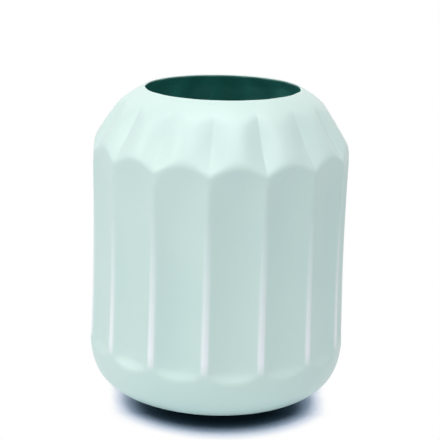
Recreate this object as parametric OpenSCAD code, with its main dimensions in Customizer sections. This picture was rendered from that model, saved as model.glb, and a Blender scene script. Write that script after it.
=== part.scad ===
// Fluted sheet metal vase: a formed shell with a pleated shoulder, a base plate set into
// its foot, a coloured lining and four felt pads. Millimetres, +Z up. The origin is on the
// table, on the vase's axis, and a ridge faces -Y.

/* [Overall] */
// Height from the table to the lip
height = 200; // [180:1:230]
// Radius over the ridges at the narrowest part of the wall
waist_radius = 82; // [76:0.1:95]
// Radius of the mouth, at the outside of the lip
mouth_radius = 49.4; // [40:0.1:54]
// Thickness of the metal sheet
sheet = 1; // [0.8:0.1:1.6]

/* [Fluted wall] */
// Number of flutes round the wall, and of pleats round the shoulder
flute_count = 15; // [12:1:20]
// How deep a flute is hollowed below the straight line between its ridges
flute_hollow = 2.2; // [1.4:0.1:3]
// Width of the narrow land that is left on each ridge
ridge_width = 2.6; // [1.5:0.1:5]
// Drop from the lip to the waist, the narrowest part of the wall
waist_drop = 81.4; // [66:0.1:90]
// How much wider the ridges stand at the top of the bowl than at the waist
wall_flare = 1.5; // [0.5:0.1:4]
// How much shallower a flute is at the level of the ridges' upper tips than at the waist
flute_fade = 0.8; // [0:0.1:1.2]
// Height of the slope that ends each flute above the bowl
runout_height = 8; // [5:0.5:14]

/* [Pleated shoulder] */
// Height of the shoulder, from the upper tips of the ridges to the lip
shoulder_height = 40.4; // [36:0.1:44]
// Lean of the pleats' crests from upright, in degrees
shoulder_lean = 31; // [28:0.5:34]
// How many degrees more the valleys lean, so that the pleats deepen as they rise
valley_lean = 2.4; // [1:0.1:4]
// How deep a pleat's valley lies below the straight line between its crests
pleat_hollow = 1.1; // [0.7:0.05:1.6]
// How far each side of a pleat swells beyond the straight line from valley to crest
pleat_bulge = 0.45; // [0.2:0.05:1]
// How far the crests stand outside the ridges, at the level of the ridges' upper tips
crest_rise = 1.2; // [0.8:0.1:1.8]
// Radius of the soft corner between wall and shoulder
corner_radius = 16; // [10:1:22]

/* [Bowl and foot] */
// Height of the smooth bowl below the wall
bowl_height = 40; // [32:0.1:48]
// Radius of the flat middle of the bowl's underside
bowl_flat_radius = 51; // [43:0.1:52]
// Height of the bowl's underside above the table
bowl_lift = 4; // [3:0.1:6]
// Outer radius of the foot rim
foot_radius = 54; // [53:0.1:62]
// Gap between the foot rim and the table
foot_gap = 0.7; // [0.4:0.1:1.2]

/* [Base plate] */
// Thickness of the base plate
plate_thickness = 1; // [0.6:0.1:1.4]
// Outer radius of the bend at the plate's edge
plate_bend = 1.8; // [1.5:0.1:2.4]
// Clearance between the plate's turned-down edge and the foot rim
plate_clearance = 0.1; // [0.05:0.01:0.2]
// How far the plate's edge stops short of the foot rim's lower edge
plate_setback = 0.3; // [0.1:0.1:0.6]

/* [Lining] */
// Thickness of the lining
lining_thickness = 0.3; // [0.2:0.05:0.6]
// Clearance between the lining and the metal that it covers
lining_clearance = 0.05; // [0.02:0.01:0.1]

/* [Felt pads] */
// Diameter of a felt pad
pad_diameter = 16; // [10:1:20]
// Space between a pad and the plate's turned-down edge
pad_margin = 2.9; // [1:0.1:8]

/* [Hidden] */
$fn = 120;
mint = "#CBE3DC";
dark_green = "#1E4A41";
felt_grey = "#3C3F41";
// Every cut runs past the face that it leaves through by this much
overrun = 2;
// Four pads stand a quarter turn apart, the first one half way between +X and +Y
pad_turn = 90;
first_pad_turn = 45;

// Levels at which the forms meet
tip_z = height - shoulder_height;
waist_z = height - waist_drop;
bowl_top_z = bowl_lift + bowl_height;
floor_z = bowl_lift + sheet;

// The wall is widest at both ends: a parabola about the waist
function wall_radius(z) =
    waist_radius + wall_flare * pow((z - waist_z) / (waist_z - bowl_top_z), 2);

// A flute is the hollow that a round forming tool leaves between two ridges
half_pitch = 180 / flute_count;
edge_turn = half_pitch - asin(ridge_width / 2 / waist_radius);
chord_drop = waist_radius * (1 - cos(edge_turn));
flute_depth = chord_drop + flute_hollow;
tool_axis = flute_depth * (2 * waist_radius - flute_depth) / (2 * flute_hollow);
tool_width = waist_radius * (sin(edge_turn) + sin(half_pitch));
function depth_at(z) =
    flute_depth - flute_fade * pow(max(z - waist_z, 0) / (tip_z - waist_z), 2);

// A flute's end on the bowl: shares of its height going down, and of its depth
runout_shares = [[1.25, -0.3], [1, 0], [0.3, 0.84], [0, 1]];
runout_top_share = 0.3;
runout_top_z = bowl_top_z - runout_top_share * runout_height;

// The shoulder is a cone of V-shaped pleats, each valley in line with a ridge
ridge_tip_radius = wall_radius(tip_z);
flank_tip_radius = (ridge_tip_radius + pleat_hollow) / cos(half_pitch);
// The pleating tool's reach along the valley, as shares of the shoulder's height
tool_start_share = -0.2;
tool_length_share = 1.6;
function crest_radius(z) =
    ridge_tip_radius + crest_rise - (z - tip_z) * tan(shoulder_lean);

// The neck is part of an ellipsoid that ends at the lip
neck_reach_share = 1.005;
neck_sink_share = 0.119;
neck_reach = neck_reach_share * waist_radius;
neck_z = tip_z - neck_sink_share * shoulder_height;
neck_rise = (height - neck_z) / sqrt(1 - pow(mouth_radius / neck_reach, 2));
function neck_radius(z, inset) =
    (neck_reach - inset) * sqrt(1 - pow((z - neck_z) / (neck_rise - inset), 2));

// The corner between wall and shoulder is an arc that touches both
corner_z = tip_z + crest_rise / tan(shoulder_lean);
arc_z = corner_z - corner_radius * tan(shoulder_lean / 2);
arc_end_z = arc_z + corner_radius * sin(shoulder_lean);

// The bowl's section is an ellipse when this is 2, and squarer above that
bowl_squareness = 3;

// Number of steps in each stretch of the outline
bowl_steps = 10;
wall_steps = 4;
corner_steps = 4;
shoulder_steps = 7;
flute_steps = 5;

// Stretches of the half section, from the foot up, all moved into the metal by inset
function bowl_outline(inset) =
    let (run = wall_radius(bowl_top_z) - bowl_flat_radius - inset, drop = bowl_height - inset)
    [
        for (k = [0 : bowl_steps])
            let (turn = 90 * k / bowl_steps)
            [bowl_flat_radius + run * pow(sin(turn), 2 / bowl_squareness),
                bowl_top_z - drop * pow(cos(turn), 2 / bowl_squareness)]
    ];
function wall_outline(inset) = [
    for (k = [1 : wall_steps - 1])
        let (z = bowl_top_z + (arc_z - bowl_top_z) * k / wall_steps)
        [wall_radius(z) - inset, z]
];
function corner_outline(inset) = [
    for (k = [0 : corner_steps])
        let (turn = shoulder_lean * k / corner_steps)
        [ridge_tip_radius - corner_radius + (corner_radius - inset) * cos(turn),
            arc_z + (corner_radius - inset) * sin(turn)]
];
function shoulder_outline(inset, top_z) = [
    for (k = [1 : shoulder_steps])
        let (z = arc_end_z + (top_z - arc_end_z) * k / shoulder_steps)
        [min(crest_radius(z) - inset / cos(shoulder_lean), neck_radius(z, inset)), z]
];

// The vase before it is fluted and pleated
module smooth_form(inset, top_z) {
    rotate_extrude()
        polygon(concat(
            [[0, bowl_lift + inset]],
            bowl_outline(inset),
            wall_outline(inset),
            corner_outline(inset),
            shoulder_outline(inset, top_z),
            [[0, top_z]]
        ));
}

// The tool that hollows one flute, held to a strip narrower than the pitch
module flute_tool(inset) {
    runout = [
        for (share = runout_shares)
            let (z = runout_top_z - runout_height * share[0])
            [tool_axis - wall_radius(z) + flute_depth * share[1] + inset, z]
    ];
    straight = [
        for (k = [1 : flute_steps])
            let (z = runout_top_z + (height - runout_top_z) * k / flute_steps)
            [tool_axis - wall_radius(z) + depth_at(z) + inset, z]
    ];
    intersection() {
        translate([tool_axis, 0, 0])
            rotate_extrude()
                polygon(concat([[0, runout[0][1]]], runout, straight, [[0, height]]));
        translate([waist_radius / 2, -tool_width / 2, 0])
            cube([waist_radius, tool_width, height + overrun]);
    }
}

// The tool that presses one pleat: it leaves two swelling flanks that meet in a sharp valley
module pleat_tool(inset) {
    lean = shoulder_lean + valley_lean;
    run = flank_tip_radius * sin(half_pitch);
    rise = pleat_hollow * cos(lean);
    flank = norm([run, rise]);
    flank_radius = (flank * flank / 4 + pleat_bulge * pleat_bulge) / (2 * pleat_bulge);
    back = flank_radius - pleat_bulge;
    translate([ridge_tip_radius, 0, tip_z])
        rotate([0, -lean, 0])
            translate([0, 0, tool_start_share * shoulder_height])
                linear_extrude(height = tool_length_share * shoulder_height)
                    difference() {
                        translate([-run / 2, -run])
                            square([run, 2 * run]);
                        for (side = [-1, 1])
                            translate([rise / 2 - back * run / flank,
                                side * (run / 2 + back * rise / flank)])
                                circle(flank_radius - inset);
                    }
}

// The fluted and pleated outer form, moved into the metal by inset and cut off at top_z
module vase_form(inset, top_z) {
    difference() {
        difference() {
            smooth_form(inset, top_z);
            for (k = [0 : flute_count - 1])
                rotate(2 * half_pitch * k - 90) pleat_tool(inset);
        }
        for (k = [0 : flute_count - 1])
            rotate(2 * half_pitch * (k + 0.5) - 90) flute_tool(inset);
    }
}

// One sheet of metal from the lip to the foot rim, open at the bottom for the base plate.
// The rim reaches up into the sheet of the bowl, wherever the bowl is at that radius
rim_top_z = lookup(foot_radius, bowl_outline(0)) + sheet / 2;
module body_shell() {
    color(mint)
        difference() {
            union() {
                vase_form(0, height);
                translate([0, 0, foot_gap])
                    cylinder(r = foot_radius, h = rim_top_z - foot_gap);
            }
            vase_form(sheet, height + overrun);
            translate([0, 0, foot_gap - overrun])
                cylinder(r = foot_radius - sheet, h = bowl_top_z - foot_gap + overrun);
        }
}

// A pressed disc with its edge turned down inside the foot rim
plate_radius = foot_radius - sheet - plate_clearance;
module plate_outline(inset, low) {
    bend = plate_bend - inset;
    translate([0, low]) square([plate_radius - inset, floor_z - plate_bend - low]);
    translate([0, low]) square([plate_radius - plate_bend, floor_z - inset - low]);
    translate([plate_radius - plate_bend, floor_z - plate_bend])
        intersection() {
            circle(bend);
            square(bend);
        }
}
module base_plate() {
    color(mint)
        rotate_extrude()
            difference() {
                plate_outline(0, foot_gap + plate_setback);
                plate_outline(plate_thickness, foot_gap - overrun);
            }
}

// The green coat over the whole inside, from the lip to the base plate
module inner_lining() {
    outside = sheet + lining_clearance;
    color(dark_green)
        difference() {
            vase_form(outside, height);
            vase_form(outside + lining_thickness, height + overrun);
        }
}

// A felt disc stuck under the base plate
pad_circle_radius = plate_radius - plate_thickness - pad_margin - pad_diameter / 2;
module foot_pad(number) {
    color(felt_grey)
        rotate(first_pad_turn + pad_turn * (number - 1))
            translate([pad_circle_radius, 0, 0])
                cylinder(d = pad_diameter, h = floor_z - plate_thickness);
}

body_shell();
base_plate();
inner_lining();
foot_pad(1);  // foot_pad_1
foot_pad(2);  // foot_pad_2
foot_pad(3);  // foot_pad_3
foot_pad(4);  // foot_pad_4
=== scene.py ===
"""Looks of the fluted metal vase: lacquered shell, green lining, pressed base plate and felt pads.

Shapes are worked out in millimetres and put into the scene in metres. A turn round the axis starts
at the ridge that faces -Y and goes towards +X.
"""

import math

import bmesh
import bpy
import numpy as np
from mathutils import Matrix, Vector


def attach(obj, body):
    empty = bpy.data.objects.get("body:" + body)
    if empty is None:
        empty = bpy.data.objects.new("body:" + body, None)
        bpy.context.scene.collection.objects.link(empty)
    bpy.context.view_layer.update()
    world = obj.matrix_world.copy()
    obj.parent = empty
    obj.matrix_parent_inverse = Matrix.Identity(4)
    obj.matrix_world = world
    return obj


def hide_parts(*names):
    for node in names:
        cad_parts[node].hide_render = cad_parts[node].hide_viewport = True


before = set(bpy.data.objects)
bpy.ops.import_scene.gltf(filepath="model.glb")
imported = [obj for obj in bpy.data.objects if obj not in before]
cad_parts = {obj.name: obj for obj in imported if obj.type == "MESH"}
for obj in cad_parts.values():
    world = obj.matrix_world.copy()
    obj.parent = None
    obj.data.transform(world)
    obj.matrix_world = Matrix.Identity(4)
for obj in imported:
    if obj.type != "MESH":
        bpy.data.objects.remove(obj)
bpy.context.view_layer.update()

MM = 0.001

# Outside sizes of the vase
HEIGHT = 200.0
WAIST_RADIUS = 81.6
WAIST_Z = 118.6
WALL_FLARE = 1.55
MOUTH_RADIUS = 49.4
SHEET = 1.0
LIP_Z = 199.85
LIP_LEAN = 0.7
LIP_LEAN_Z = 184.0

# Flutes of the wall
FLUTES = 15
PITCH = 2 * math.pi / FLUTES
FLUTE_DEPTH = 4.7
FLUTE_TOP_DEPTH = 1.4
FLUTE_TOP_FADE = 35.0
RIDGE_SHARE = 0.11
FLUTE_END_Z = 32.4
FLUTE_END_LIFT = 5.6
FLUTE_END_SLOPE = 0.7
FLUTE_END_BLEND = 2.0

# Pleats of the shoulder: valleys start at the ridges, crests above the middles of the flutes
TIP_Z = 160.0
TIP_RADIUS = 82.1
VALLEY_TOP_Z = 193.2
VALLEY_SLOPES = (0.62, 0.69)
ARCH_Z = 166.2
ARCH_RADIUS = 80.7
CREST_TOP_Z = 189.0
CREST_SLOPES = (0.58, 0.74)
HOLLOW_Z = 174.5
HOLLOW_REACH = 17.0
HOLLOW_DEPTH = 1.3
CREST_SHARE = 0.5
VALLEY_SHARE = 0.04
RIDGE_CORNER = 0.9
ARCH_CORNER = 2.0

# Domed neck
NECK_REACH = 82.42
NECK_Z = 154.8
NECK_RISE = (HEIGHT - NECK_Z) / math.sqrt(1 - (MOUTH_RADIUS / NECK_REACH) ** 2)
NECK_BLEND = 1.2
LIP_FACET = 0.35

# Bowl and foot rim
BOWL_TOP_Z = 44.0
BOWL_LIFT = 4.0
BOWL_FLAT_RADIUS = 51.0
BOWL_SQUARENESS = 3.0
FOOT_RADIUS = 54.0
FOOT_GAP = 0.7
FOOT_FILLET = 1.2
FOOT_ROUNDING = 0.5

# Lining, with the radii of the rings of its floor
LINING_GAP = 0.05
LINING = 0.3
LINING_SETBACK = 0.35
LINING_FLOOR_RADII = (54.0, 50.0, 42.0, 31.0, 20.0, 10.0, 3.0)

# Base plate. The bead and the dimple are pressed down, the edge is given by inset and rise
PLATE_RADIUS = 52.9
PLATE_TOP = 5.0
PLATE_THICKNESS = 1.0
PLATE_LOW = 1.0
PLATE_BEND = 1.8
PLATE_EDGE = ((1.0, 0.4), (0.8, 0.1), (0.5, 0.0), (0.2, 0.1), (0.0, 0.4))
BEAD_RADIUS = 27.0
BEAD_REACH = 7.0
BEAD_WIDTH = 2.2
BEAD_DEPTH = 0.6
BEAD_STEPS = 17
BEND_STEPS = 9
DIMPLE_DEPTH = 0.35
DIMPLE_SIDE = ((2.0, 0.3), (4.0, 0.12), (7.0, 0.0))

# Felt pads. A wobble has its depth, its waves round the pad and its shift from pad to pad
PAD_COUNT = 4
PAD_RADIUS = 8.0
PAD_CIRCLE = 41.0
PAD_TOP = 4.0
PAD_FIRST_HEADING = 45
PAD_WOBBLES = ((0.06, 5, 1), (0.04, 11, 2))

# Rows of faces from the lip down, placed by height, by share of the neck's rise or by angle
NECK_ROWS = 34
NECK_ROW_SHARES = (0.801, 0.30)
CORNER_ROWS = 30
CORNER_ROW_GAP = 0.6
CORNER_LOW_Z = 151.0
WALL_ROWS = 30
WALL_ROWS_Z = (148.0, 46.0)
BOWL_ROWS = 46
BOWL_ROW_ANGLES = (88, 13)

# Columns of faces from the middle of a flute to its ridge, closer together near the ridge
HALF_COLUMNS = (0, 0.13, 0.26, 0.39, 0.51, 0.62, 0.715, 0.795, 0.86, 0.91, 0.948, 0.978)
PLATE_COLUMNS = 144
PAD_COLUMNS = 64

# Directions across a thin rounded edge, in degrees
EDGE_ANGLES = (22.5, 45, 67.5, 90, 112.5, 135, 157.5)

# Painted highlight on the ridges: where it starts, how it sways from ridge to ridge and where it fades
HIGHLIGHT_CROWN = 0.835
HIGHLIGHT_CROWN_BLEND = 0.08
HIGHLIGHT_TOP_Z = 146
HIGHLIGHT_TOP_SWAY = 9
HIGHLIGHT_TOP_WAVES = 3.1
HIGHLIGHT_TOP_PHASE = 0.6
HIGHLIGHT_TOP_FADE = 16
HIGHLIGHT_LOW_Z = 37
HIGHLIGHT_LOW_FADE = 5
HIGHLIGHT_STRENGTH = 1.45
HIGHLIGHT_STRENGTH_FADE = 95

# Colours of the materials
MINT = ((0.612, 0.770, 0.722), (0.640, 0.790, 0.735))
MINT_MOTTLE = (0.68, 0.82, 0.79)
# Colour of the painted highlight along the ridges
MINT_HIGHLIGHT = (0.93, 0.945, 0.96)
# Lining green: a shaded copy for the hollows and a lit copy for the ridges, for painted shade
GREEN_SHADED_AND_LIT = ((0.106, 0.44, 0.395), (0.148, 0.545, 0.50))
GREEN_RUN = (0.122, 0.467, 0.425)
BASE = ((0.56, 0.72, 0.68), (0.60, 0.755, 0.715))
BASE_SPECK = (0.40, 0.50, 0.48)
FELT = ((0.030, 0.034, 0.037), (0.085, 0.092, 0.096))

# Floor
FLOOR_COLOR = (0.90, 0.96, 1.0)
FLOOR_REACH = 2500.0
FLOOR_STEPS = 40
FLOOR_GROWTH = 1.6

# Shadow on the floor, with tints by how open the floor is
SHADOW_REACH = 42.0
SHADOW_SAMPLES = 32
SHADOW_TINTS = (
    (0.10, (0.0012, 0.0036, 0.005)),
    (0.21, (0.014, 0.029, 0.043)),
    (0.32, (0.185, 0.25, 0.33)),
    (0.42, (0.64, 0.71, 0.82)),
    (0.52, (1, 1, 1)),
)
SHADOW_TILT = math.radians(30)
SHADOW_TURN = math.radians(14)
SHADOW_FADE = (92 * MM, 190 * MM)

# The shadow's sides: how much more open the floor counts there, and where that ends
SHADOW_EASES = ((-52 * MM, -21 * MM, 0, 0.15), (0, 30 * MM, 1, 0))
SHADOW_EASE_TURN = math.radians(7)

# Light. Each lamp has a name, its place and size in metres, its power in watts and its colour
WORLD_COLOR = (0.92, 0.96, 1.0)
WORLD_LEVEL = 0.36
LAMP_TARGET = (0, 0, 0.12)
LAMPS = (
    ("top", (0.02, -0.38, 1.36), (1.3, 1.3), 13.8, (1, 1, 1)),
    ("left", (-1.2, -0.45, 0.95), (0.7, 1.0), 5.4, (1.0, 0.98, 0.97)),
)

# Camera, fitted to the ridges, the mouth and the outline in the photo
PHOTO_WIDTH = 440
FOCAL_PIXELS = 1234
SENSOR_WIDTH = 36
CAMERA_PITCH = math.radians(15.67)
CAMERA_ROLL = math.radians(1.62)
CAMERA_AZIMUTH = math.radians(4.43)
CAMERA_PLACE = (0.5, -769.6, 328.4)


def column_turns():
    """The turns of all columns of faces round the vase."""
    steps = [-step for step in reversed(HALF_COLUMNS[1:])] + list(HALF_COLUMNS)
    shares = [0.0] + [0.5 + step / 2 for step in steps]
    return np.array([(flute + share) * PITCH for flute in range(FLUTES) for share in shares])


def soft_min(a, b, width):
    """The lower of two values, rounded over the width where they meet."""
    near = np.maximum(width - np.abs(a - b), 0) / width
    return np.minimum(a, b) - near * near * width / 4


def across(turn):
    """Where a turn lies in its flute: 0 in the middle, 1 and -1 at the ridges."""
    return 2 * ((turn / PITCH) % 1.0 - 0.5)


def hollow_share(place):
    """How much of a flute's depth is left: 1 in the middle, 0 on the rounded ridge."""
    away = np.abs(place)
    edge = 1 - RIDGE_SHARE
    past = away - edge
    crown = (1 - edge * edge) - 2 * edge * (past - past * past / (2 * RIDGE_SHARE))
    share = np.where(away <= edge, 1 - away * away, crown)
    return (share - RIDGE_SHARE) / (1 - RIDGE_SHARE)


def valley_share(place):
    """How far down a pleat's side a place lies: 0 on the crest, 1 in the valley."""
    away = np.abs(place)
    down = np.where(away < CREST_SHARE, away * away / (2 * CREST_SHARE) + CREST_SHARE / 2, away)
    left = 1 - away
    end = np.where(left < VALLEY_SHARE, left * left / (2 * VALLEY_SHARE) + VALLEY_SHARE / 2, left)
    low, high = CREST_SHARE / 2, 1 - VALLEY_SHARE / 2
    return (down - end + left - low) / (high - low)


def wall_radius(z):
    """The wall's round form, narrowest at the waist."""
    return WAIST_RADIUS + WALL_FLARE * ((z - WAIST_Z) / (WAIST_Z - BOWL_TOP_Z)) ** 2


def bowl_radius(z):
    """The bowl's round form, from the wall down to the foot."""
    down = np.clip((BOWL_TOP_Z - z) / (BOWL_TOP_Z - BOWL_LIFT), 0, 1)
    reach = (1 - down**BOWL_SQUARENESS) ** (1 / BOWL_SQUARENESS)
    return BOWL_FLAT_RADIUS + (wall_radius(BOWL_TOP_Z) - BOWL_FLAT_RADIUS) * reach


def neck_radius(z):
    """The dome of the neck. Below its widest level it spreads, to stay clear of the wall."""
    above = np.maximum(z - NECK_Z, 0) / NECK_RISE
    return NECK_REACH * np.sqrt(1 - above**2) + np.maximum(NECK_Z - z, 0)


def pleat_line(z, low_z, high_z, radius, slopes):
    """A valley's or crest's line: it starts at a radius and changes its slope as it rises."""
    up = z - low_z
    turned = (slopes[1] - slopes[0]) / (2 * (high_z - low_z))
    return radius - slopes[0] * up - turned * np.maximum(up, 0) ** 2


def outer_radius(turn, z):
    """The outside of the vase at a turn and a height."""
    place = across(turn)
    end = FLUTE_END_Z + FLUTE_END_LIFT * place**2
    fade = np.clip((z - ARCH_Z) / FLUTE_TOP_FADE + 1, 0, 1)
    deep = FLUTE_DEPTH + (FLUTE_TOP_DEPTH - FLUTE_DEPTH) * fade**2
    depth = soft_min(deep * hollow_share(place), FLUTE_END_SLOPE * (z - end), FLUTE_END_BLEND)
    round_form = np.where(z < BOWL_TOP_Z, bowl_radius(z), wall_radius(z))
    body = round_form - np.maximum(depth, 0)
    valley = valley_share(place)
    crest_line = pleat_line(z, ARCH_Z, CREST_TOP_Z, ARCH_RADIUS, CREST_SLOPES)
    valley_line = pleat_line(z, TIP_Z, VALLEY_TOP_Z, TIP_RADIUS, VALLEY_SLOPES)
    hollow = np.clip(1 - ((z - HOLLOW_Z) / HOLLOW_REACH) ** 2, 0, 1) ** 2
    valley_line = np.minimum(valley_line, crest_line) - HOLLOW_DEPTH * hollow
    shoulder = crest_line + (valley_line - crest_line) * valley
    corner = ARCH_CORNER + (RIDGE_CORNER - ARCH_CORNER) * place**2
    neck = neck_radius(z) - LIP_FACET * valley
    return soft_min(soft_min(body, shoulder, corner), neck, NECK_BLEND)


def levels():
    """Heights of the rows of faces, from the lip down to the foot."""
    neck = NECK_Z + NECK_RISE * np.linspace(*NECK_ROW_SHARES, NECK_ROWS)
    neck[0] = LIP_Z
    corner = np.linspace(neck[-1] - CORNER_ROW_GAP, CORNER_LOW_Z, CORNER_ROWS)
    wall = np.linspace(*WALL_ROWS_Z, WALL_ROWS)
    angles = np.radians(np.linspace(*BOWL_ROW_ANGLES, BOWL_ROWS))
    bowl = BOWL_TOP_Z - (BOWL_TOP_Z - BOWL_LIFT) * np.cos(angles) ** (2 / BOWL_SQUARENESS)
    return np.concatenate([neck, corner, wall, bowl])


def coarser(rows):
    """Every row of the neck and every second one below it, for a surface that hardly shows."""
    return rows[:NECK_ROWS] + rows[NECK_ROWS::2]


def grid(turns, heights):
    """Points of the outside, as rows of columns. The lip leans a little to the left."""
    turn, z = np.meshgrid(turns, heights)
    radius = outer_radius(turn, z)
    near_lip = np.clip((z - LIP_LEAN_Z) / (LIP_Z - LIP_LEAN_Z), 0, 1) ** 2
    lean = LIP_LEAN * near_lip * (np.sin(turn) - 1) / 2
    return np.stack([radius * np.sin(turn), -radius * np.cos(turn), z + lean], axis=-1)


def outward(points):
    """Unit normals of rows of points that close on themselves."""
    round_way = np.roll(points, -1, axis=1) - np.roll(points, 1, axis=1)
    down_way = np.gradient(points, axis=0)
    normal = np.cross(down_way, round_way)
    return normal / np.linalg.norm(normal, axis=-1, keepdims=True)


def outer_tangent(points):
    """Unit directions up the outside at the first row."""
    way = points[0] - points[1]
    return way / np.linalg.norm(way, axis=-1, keepdims=True)


def ring(turns, radius, z):
    """One level row of points."""
    return np.stack([radius * np.sin(turns), -radius * np.cos(turns), np.full_like(turns, z)], axis=-1)


def whole_turn(columns):
    """Even turns all the way round."""
    return np.linspace(0, 2 * math.pi, columns, endpoint=False)


def thin_edge(points, normal, upward, near, far):
    """A rounded edge at the first row, from one depth below the outside to another."""
    half = (far - near) / 2
    middle = points[0] - normal[0] * (near + half)
    angles = np.radians(EDGE_ANGLES)
    return [middle + half * (normal[0] * math.cos(angle) + upward * math.sin(angle)) for angle in angles]


def lay_mesh(name, rings, poles=None):
    """A smooth mesh of rings of points. It closes on itself, or on a pole at each end."""
    rows, columns = len(rings), len(rings[0])
    points = np.concatenate(rings)
    last = rows - 1 if poles else rows
    row, column = np.meshgrid(np.arange(last), np.arange(columns), indexing="ij")
    beside = (column + 1) % columns
    here, below = row * columns, (row + 1) % rows * columns
    faces = np.stack([here + column, below + column, below + beside, here + beside], axis=-1)
    faces = faces.reshape(-1, 4).tolist()
    if poles:
        points = np.concatenate([points, poles])
        start = (rows - 1) * columns
        for first in range(columns):
            second = (first + 1) % columns
            faces.append([first, second, rows * columns])
            faces.append([start + second, start + first, rows * columns + 1])
    mesh = bpy.data.meshes.new(name)
    mesh.from_pydata((points * MM).tolist(), [], faces)
    shape = bmesh.new()
    shape.from_mesh(mesh)
    bmesh.ops.recalc_face_normals(shape, faces=shape.faces)
    shape.to_mesh(mesh)
    shape.free()
    mesh.shade_smooth()
    piece = bpy.data.objects.new(name, mesh)
    bpy.context.scene.collection.objects.link(piece)
    return piece


def painted_ridge_highlight(turn, z):
    """How strong the painted highlight is: only along the ridges, more so lower down."""
    crown = np.clip((np.abs(across(turn)) - HIGHLIGHT_CROWN) / HIGHLIGHT_CROWN_BLEND, 0, 1)
    start = HIGHLIGHT_TOP_Z + HIGHLIGHT_TOP_SWAY * np.sin(HIGHLIGHT_TOP_WAVES * turn + HIGHLIGHT_TOP_PHASE)
    fade = np.clip((start - z) / HIGHLIGHT_TOP_FADE, 0, 1) * np.clip((z - HIGHLIGHT_LOW_Z) / HIGHLIGHT_LOW_FADE, 0, 1)
    strength = np.clip(HIGHLIGHT_STRENGTH - z / HIGHLIGHT_STRENGTH_FADE, 0, 1)
    return crown * crown * (3 - 2 * crown) * fade * strength


def foot_rings(turns):
    """The foot rim, from the fillet under the bowl round its rounded end and up its inside."""
    inner_radius = FOOT_RADIUS - SHEET
    section = (
        (FOOT_RADIUS + FOOT_FILLET, BOWL_LIFT + 0.35 * FOOT_FILLET),
        (FOOT_RADIUS + 0.35 * FOOT_FILLET, BOWL_LIFT + 0.02),
        (FOOT_RADIUS, BOWL_LIFT - 0.75),
        (FOOT_RADIUS, FOOT_GAP + FOOT_ROUNDING),
        (FOOT_RADIUS - 0.3 * FOOT_ROUNDING, FOOT_GAP + 0.3 * FOOT_ROUNDING),
        (FOOT_RADIUS - SHEET / 2, FOOT_GAP),
        (inner_radius + 0.3 * FOOT_ROUNDING, FOOT_GAP + 0.3 * FOOT_ROUNDING),
        (inner_radius, FOOT_GAP + FOOT_ROUNDING),
        (inner_radius, BOWL_LIFT + SHEET + 0.1),
    )
    return [ring(turns, radius, z) for radius, z in section]


def make_shell(turns, heights, points, normal, upward):
    """One sheet: the outside, the foot rim, the inside and the lip's rounded edge."""
    inside = coarser(list(points - normal * SHEET))
    edge = thin_edge(points, normal, upward, 0, SHEET)
    shell = lay_mesh("shell", list(points) + foot_rings(turns) + inside[::-1] + edge[::-1])
    # Point values for the painted highlight along the ridges, on the outside only
    painted_highlight = np.zeros(len(shell.data.vertices))
    turn, z = np.meshgrid(turns, heights)
    painted_highlight[: turn.size] = painted_ridge_highlight(turn, z).ravel()
    shell.data.attributes.new("painted_highlight", "FLOAT", "POINT").data.foreach_set("value", painted_highlight)
    return shell


def make_lining(turns, points, normal, upward):
    """The coat over the inside, which ends just below the lip."""
    near, far = SHEET + LINING_GAP, SHEET + LINING_GAP + LINING
    set_back = points.copy()
    set_back[0] = points[0] - upward * LINING_SETBACK
    inside = list(set_back - normal * far)
    hidden = coarser(list(set_back - normal * near))
    edge = thin_edge(set_back, normal, upward, near, far)
    low, high = BOWL_LIFT + near, BOWL_LIFT + near + LINING
    floor = [ring(turns, radius, high) for radius in LINING_FLOOR_RADII]
    under = [ring(turns, radius, low) for radius in LINING_FLOOR_RADII]
    rings = floor[::-1] + inside[::-1] + edge[::-1] + hidden + under
    lining = lay_mesh("lining", rings, [[0, 0, high], [0, 0, low]])
    # Painted shade round the inside: 0 in the hollows of the flutes, 1 behind the ridges
    painted_fold_shading = np.append(np.tile(0.5 - 0.5 * np.cos(math.pi * across(turns)), len(rings)), [0.5, 0.5])
    lining.data.attributes.new("painted_fold_shading", "FLOAT", "POINT").data.foreach_set("value", painted_fold_shading)
    return lining


def make_plate():
    """A dish with its edge turned down, a bead round it and a dimple in the middle."""
    turns = whole_turn(PLATE_COLUMNS)
    low = PLATE_TOP - PLATE_THICKNESS
    pressed = list(DIMPLE_SIDE)
    for radius in np.linspace(BEAD_RADIUS - BEAD_REACH, BEAD_RADIUS + BEAD_REACH, BEAD_STEPS):
        drop = BEAD_DEPTH * math.exp(-(((radius - BEAD_RADIUS) / BEAD_WIDTH) ** 2))
        pressed.append((radius, drop))
    angles = np.radians(np.linspace(0, 90, BEND_STEPS))
    bend_radius, bend_z = PLATE_RADIUS - PLATE_BEND, PLATE_TOP - PLATE_BEND

    def bend(size):
        ways = [(math.sin(angle), math.cos(angle)) for angle in angles]
        return [(bend_radius + size * out, bend_z + size * up) for out, up in ways]

    section = [(radius, low - drop) for radius, drop in pressed]
    section += bend(PLATE_BEND - PLATE_THICKNESS)
    section += [(PLATE_RADIUS - inset, PLATE_LOW + rise) for inset, rise in PLATE_EDGE]
    section += bend(PLATE_BEND)[::-1]
    section += [(radius, PLATE_TOP - drop) for radius, drop in pressed[::-1]]
    poles = [[0, 0, low - DIMPLE_DEPTH], [0, 0, PLATE_TOP - DIMPLE_DEPTH]]
    return lay_mesh("plate", [ring(turns, radius, z) for radius, z in section], poles)


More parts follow.
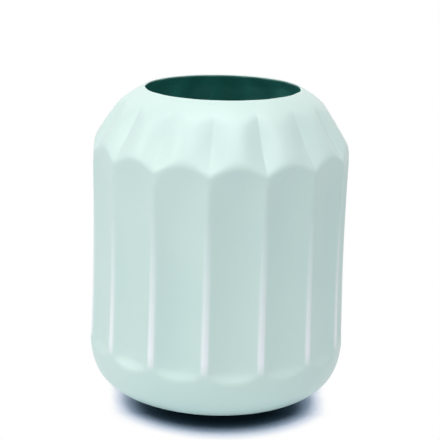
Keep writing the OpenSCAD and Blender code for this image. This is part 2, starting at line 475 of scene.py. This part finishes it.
def make_pad(number):
    """A felt disc, a little ragged at the side and pressed wider by the weight on it."""
    turns = whole_turn(PAD_COLUMNS)
    wobble = sum(depth * np.sin(waves * turns + shift * number) for depth, waves, shift in PAD_WOBBLES)
    section = (
        (3.0, 0), (6.4, 0), (7.35, 0.05), (7.62, 0.25), (7.78, 0.7), (7.85, 1.4), (7.84, 2.1),
        (7.76, 0.68 * PAD_TOP), (7.6, 0.86 * PAD_TOP), (7.3, PAD_TOP), (4.0, PAD_TOP),
    )
    rings = [ring(turns, radius + wobble * (radius / PAD_RADIUS) ** 2, z) for radius, z in section]
    heading = math.radians(PAD_FIRST_HEADING + 360 / PAD_COUNT * (number - 1))
    place = np.array([PAD_CIRCLE * math.cos(heading), PAD_CIRCLE * math.sin(heading), 0])
    poles = [place, place + [0, 0, PAD_TOP]]
    return lay_mesh(f"pad_{number}", [points + place for points in rings], poles)


def set_range(node, numbers):
    """Fills in a range node: where its input starts and ends, then its output."""
    for name, number in zip(("From Min", "From Max", "To Min", "To Max"), numbers):
        node.inputs[name].default_value = number


class Nodes:
    """Makes and links the nodes of one material."""

    def __init__(self, name):
        self.material = bpy.data.materials.new(name)
        self.material.use_nodes = True
        self.tree = self.material.node_tree
        self.shader = self.tree.nodes["Principled BSDF"]
        self.place = self.tree.nodes.new("ShaderNodeTexCoord").outputs["Object"]

    def link(self, source, target):
        self.tree.links.new(source, target)

    def noise(self, scale, detail, stretch=None):
        """Noise at a scale per metre, with that scale changed along the axes if asked."""
        where = self.place
        if stretch:
            mapping = self.tree.nodes.new("ShaderNodeMapping")
            mapping.inputs["Scale"].default_value = stretch
            self.link(self.place, mapping.inputs["Vector"])
            where = mapping.outputs["Vector"]
        node = self.tree.nodes.new("ShaderNodeTexNoise")
        node.inputs["Scale"].default_value = scale
        node.inputs["Detail"].default_value = detail
        self.link(where, node.inputs["Vector"])
        return node.outputs["Fac"]

    def spread(self, value, low, high, to_low, to_high):
        """A value moved from one range to another."""
        node = self.tree.nodes.new("ShaderNodeMapRange")
        set_range(node, (low, high, to_low, to_high))
        self.link(value, node.inputs["Value"])
        return node.outputs["Result"]

    def blend(self, share, first, second):
        """A mix of two colours. Each value is fixed or comes from another node."""
        node = self.tree.nodes.new("ShaderNodeMix")
        node.data_type = "RGBA"
        for value, number in ((share, 0), (first, 6), (second, 7)):
            if isinstance(value, tuple):
                node.inputs[number].default_value = (*value, 1)
            else:
                self.link(value, node.inputs[number])
        return node.outputs[2]

    def attribute(self, name):
        """A value that the points of the mesh carry."""
        node = self.tree.nodes.new("ShaderNodeAttribute")
        node.attribute_name = name
        return node.outputs["Fac"]

    def bump(self, height, depth, below=None):
        """Relief of a depth in millimetres, on top of another relief if given."""
        node = self.tree.nodes.new("ShaderNodeBump")
        node.inputs["Distance"].default_value = depth * MM
        self.link(height, node.inputs["Height"])
        if below:
            self.link(below, node.inputs["Normal"])
        return node.outputs["Normal"]

    def finish(self, color, roughness, normal, **fixed):
        """Joins everything to the shader, with its fixed values set by name."""
        self.link(color, self.shader.inputs["Base Color"])
        self.link(roughness, self.shader.inputs["Roughness"])
        self.link(normal, self.shader.inputs["Normal"])
        for name, value in fixed.items():
            self.shader.inputs[name.replace("_", " ")].default_value = value
        return self.material


def mint_lacquer():
    """Satin lacquer with soft patches, a fine mottle and a painted highlight along the ridges."""
    nodes = Nodes("mint_lacquer")
    color = nodes.blend(nodes.spread(nodes.noise(14, 2), 0.35, 0.65, 0, 1), *MINT)
    color = nodes.blend(nodes.spread(nodes.noise(420, 4), 0.3, 0.7, 0, 0.10), color, MINT_MOTTLE)
    # Painted highlight along the ridges, stronger lower down
    color = nodes.blend(nodes.attribute("painted_highlight"), color, MINT_HIGHLIGHT)
    roughness = nodes.spread(nodes.noise(60, 4), 0.3, 0.7, 0.34, 0.42)
    dents = nodes.bump(nodes.noise(38, 2), 0.10)
    peel = nodes.bump(nodes.noise(900, 2), 0.004, dents)
    return nodes.finish(color, roughness, peel, Coat_Weight=0.06, Coat_Roughness=0.2)


def green_lining():
    """A dark coat with faint upright runs, and painted shade: darker in the hollows, a little lighter
    behind the ridges.
    """
    nodes = Nodes("green_lining")
    # Painted shade: darker in the hollows, lighter behind the ridges
    color = nodes.blend(nodes.attribute("painted_fold_shading"), *GREEN_SHADED_AND_LIT)
    runs = nodes.spread(nodes.noise(60, 3, (1, 1, 0.12)), 0.3, 0.7, 0, 0.25)
    color = nodes.blend(runs, color, GREEN_RUN)
    roughness = nodes.spread(nodes.noise(90, 4), 0.3, 0.7, 0.29, 0.34)
    waves = nodes.bump(nodes.noise(45, 2, (1, 1, 0.3)), 0.02)
    peel = nodes.bump(nodes.noise(900, 2), 0.005, waves)
    return nodes.finish(color, roughness, peel, Coat_Weight=0.3, Coat_Roughness=0.15)


def mint_base():
    """The shell's lacquer, a little darker and with fine specks."""
    nodes = Nodes("mint_base")
    color = nodes.blend(nodes.spread(nodes.noise(30, 4), 0.35, 0.65, 0, 1), *BASE)
    color = nodes.blend(nodes.spread(nodes.noise(700, 3), 0.62, 0.72, 0, 0.5), color, BASE_SPECK)
    roughness = nodes.spread(nodes.noise(80, 4), 0.3, 0.7, 0.34, 0.5)
    peel = nodes.bump(nodes.noise(700, 3), 0.012)
    return nodes.finish(color, roughness, peel, Coat_Weight=0.15, Coat_Roughness=0.2)


def felt():
    """Dark grey felt of short fibres."""
    nodes = Nodes("felt")
    fibres = nodes.noise(900, 6, (1, 1, 0.6))
    color = nodes.blend(nodes.spread(fibres, 0.35, 0.65, 0, 1), *FELT)
    roughness = nodes.spread(nodes.noise(500, 3), 0.3, 0.7, 0.88, 0.98)
    fuzz = nodes.bump(fibres, 0.25, nodes.bump(nodes.noise(180, 3), 0.2))
    return nodes.finish(color, roughness, fuzz, Sheen_Weight=0.3, Sheen_Roughness=0.5)


def seen_share(tree):
    """A value that is 1 for what the camera sees, straight or in a reflection, and 0 otherwise."""
    path = tree.nodes.new("ShaderNodeLightPath")
    total = path.outputs["Is Camera Ray"]
    for name in ("Is Glossy Ray", "Is Transmission Ray"):
        add = tree.nodes.new("ShaderNodeMath")
        add.operation = "ADD"
        add.use_clamp = True
        tree.links.new(total, add.inputs[0])
        tree.links.new(path.outputs[name], add.inputs[1])
        total = add.outputs[0]
    return total


def mix_shaders(tree, share, first, second):
    """The first shader where the share is 0, the second where it is 1."""
    mix = tree.nodes.new("ShaderNodeMixShader")
    for source, socket in zip((share, first, second), mix.inputs):
        tree.links.new(source, socket)
    return mix.outputs[0]


def openness(tree, place):
    """How open the floor is to a sky that leans to the back, eased along the sides of the vase."""
    open_sky = tree.nodes.new("ShaderNodeAmbientOcclusion")
    open_sky.samples = SHADOW_SAMPLES
    open_sky.inputs["Distance"].default_value = SHADOW_REACH * MM
    from_behind = tree.nodes.new("ShaderNodeCombineXYZ")
    lean = math.sin(SHADOW_TILT)
    way = (-lean * math.sin(SHADOW_TURN), lean * math.cos(SHADOW_TURN), math.cos(SHADOW_TILT))
    for value, socket in zip(way, from_behind.inputs):
        socket.default_value = value
    tree.links.new(from_behind.outputs[0], open_sky.inputs["Normal"])
    behind = tree.nodes.new("ShaderNodeVectorMath")
    behind.operation = "DOT_PRODUCT"
    behind.inputs[1].default_value = (-math.sin(SHADOW_EASE_TURN), math.cos(SHADOW_EASE_TURN), 0)
    tree.links.new(place, behind.inputs[0])
    eased = tree.nodes.new("ShaderNodeMath")
    eased.operation = "MULTIPLY_ADD"
    for numbers, socket in zip(SHADOW_EASES, eased.inputs):
        ease = tree.nodes.new("ShaderNodeMapRange")
        set_range(ease, numbers)
        tree.links.new(behind.outputs["Value"], ease.inputs["Value"])
        tree.links.new(ease.outputs["Result"], socket)
    tree.links.new(open_sky.outputs["AO"], eased.inputs[2])
    return eased.outputs["Value"]


def seen_floor(tree):
    """White paper with the soft shadow close to the vase, plain white further away."""
    place = tree.nodes.new("ShaderNodeTexCoord").outputs["Object"]
    tint = tree.nodes.new("ShaderNodeValToRGB")
    tint.color_ramp.interpolation = "EASE"
    stops = tint.color_ramp.elements
    for share, color in SHADOW_TINTS:
        stops.new(share).color = (*color, 1)
    stops.remove(stops[0])
    tree.links.new(openness(tree, place), tint.inputs["Fac"])
    shaded = tree.nodes.new("ShaderNodeEmission")
    tree.links.new(tint.outputs["Color"], shaded.inputs["Color"])
    white = tree.nodes.new("ShaderNodeEmission")
    away = tree.nodes.new("ShaderNodeVectorMath")
    away.operation = "LENGTH"
    tree.links.new(place, away.inputs[0])
    far = tree.nodes.new("ShaderNodeMapRange")
    far.interpolation_type = "SMOOTHSTEP"
    set_range(far, SHADOW_FADE)
    tree.links.new(away.outputs["Value"], far.inputs["Value"])
    return mix_shaders(tree, far.outputs["Result"], shaded.outputs[0], white.outputs[0])


def paper():
    """Plain pale paper for the light, and the drawn floor for the camera."""
    material = bpy.data.materials.new("paper")
    material.use_nodes = True
    tree = material.node_tree
    tree.nodes.clear()
    plain = tree.nodes.new("ShaderNodeBsdfDiffuse")
    plain.inputs["Color"].default_value = (*FLOOR_COLOR, 1)
    mixed = mix_shaders(tree, seen_share(tree), plain.outputs[0], seen_floor(tree))
    out = tree.nodes.new("ShaderNodeOutputMaterial")
    tree.links.new(mixed, out.inputs["Surface"])
    return material


def make_floor():
    """A wide square of faces that are smaller near the vase."""
    marks = np.linspace(-1, 1, FLOOR_STEPS + 1)
    marks = np.sign(marks) * np.abs(marks) ** FLOOR_GROWTH * FLOOR_REACH
    points = [(x * MM, y * MM, 0) for y in marks for x in marks]
    wide = FLOOR_STEPS + 1
    starts = [row * wide + column for row in range(FLOOR_STEPS) for column in range(FLOOR_STEPS)]
    faces = [(start, start + 1, start + wide + 1, start + wide) for start in starts]
    mesh = bpy.data.meshes.new("floor")
    mesh.from_pydata(points, [], faces)
    mesh.materials.append(paper())
    floor = bpy.data.objects.new("floor", mesh)
    bpy.context.scene.collection.objects.link(floor)


def make_world():
    """A pale sky that lights the vase, and plain white for the camera."""
    world = bpy.data.worlds.new("studio")
    bpy.context.scene.world = world
    world.use_nodes = True
    tree = world.node_tree
    tree.nodes.clear()
    lights = []
    for color, strength in ((WORLD_COLOR, WORLD_LEVEL), ((1, 1, 1), 1.0)):
        background = tree.nodes.new("ShaderNodeBackground")
        background.inputs["Color"].default_value = (*color, 1)
        background.inputs["Strength"].default_value = strength
        lights.append(background.outputs[0])
    out = tree.nodes.new("ShaderNodeOutputWorld")
    tree.links.new(mix_shaders(tree, seen_share(tree), *lights), out.inputs["Surface"])


def make_lamp(name, place, size, power, color):
    """A soft box that faces the vase."""
    lamp = bpy.data.lights.new(name, "AREA")
    lamp.shape = "RECTANGLE"
    lamp.size, lamp.size_y = size
    lamp.energy = power
    lamp.color = color
    holder = bpy.data.objects.new(name, lamp)
    holder.location = place
    holder.rotation_euler = (Vector(LAMP_TARGET) - Vector(place)).to_track_quat("-Z", "Y").to_euler()
    bpy.context.scene.collection.objects.link(holder)


def make_camera():
    """The photo's view: set up from the front, then turned by the azimuth."""
    camera = bpy.data.cameras.new("camera")
    camera.sensor_width = SENSOR_WIDTH
    camera.lens = SENSOR_WIDTH * FOCAL_PIXELS / PHOTO_WIDTH
    holder = bpy.data.objects.new("camera", camera)
    forward = Vector((0, math.cos(CAMERA_PITCH), -math.sin(CAMERA_PITCH)))
    up = Vector((0, math.sin(CAMERA_PITCH), math.cos(CAMERA_PITCH)))
    side = Vector((1, 0, 0))
    rolled_up = up * math.cos(CAMERA_ROLL) - side * math.sin(CAMERA_ROLL)
    rolled_side = side * math.cos(CAMERA_ROLL) + up * math.sin(CAMERA_ROLL)
    turn = Matrix.Rotation(CAMERA_AZIMUTH, 3, "Z")
    facing = Matrix((turn @ rolled_side, turn @ rolled_up, turn @ -forward)).transposed()
    place = turn @ Vector(CAMERA_PLACE) * MM
    holder.matrix_world = Matrix.Translation(place) @ facing.to_4x4()
    bpy.context.scene.collection.objects.link(holder)
    bpy.context.scene.camera = holder


turns = column_turns()
heights = levels()
points = grid(turns, heights)
normal = outward(points)
upward = outer_tangent(points)

shell = make_shell(turns, heights, points, normal, upward)
lining = make_lining(turns, points, normal, upward)
plate = make_plate()
pads = [make_pad(number) for number in range(1, PAD_COUNT + 1)]

felt_material = felt()
parts = [
    (shell, "body_shell", "mint_lacquer", mint_lacquer()),
    (lining, "inner_lining", "green_lining", green_lining()),
    (plate, "base_plate", "mint_base", mint_base()),
]
parts += [(pad, f"foot_{pad.name}", "felt", felt_material) for pad in pads]
for piece, node, slot, material in parts:
    piece.data.materials.append(material)
    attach(piece, "root")
    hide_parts(node)

make_floor()
make_world()
for lamp in LAMPS:
    make_lamp(*lamp)
make_camera()

view = bpy.context.scene.view_settings
view.view_transform = "Standard"
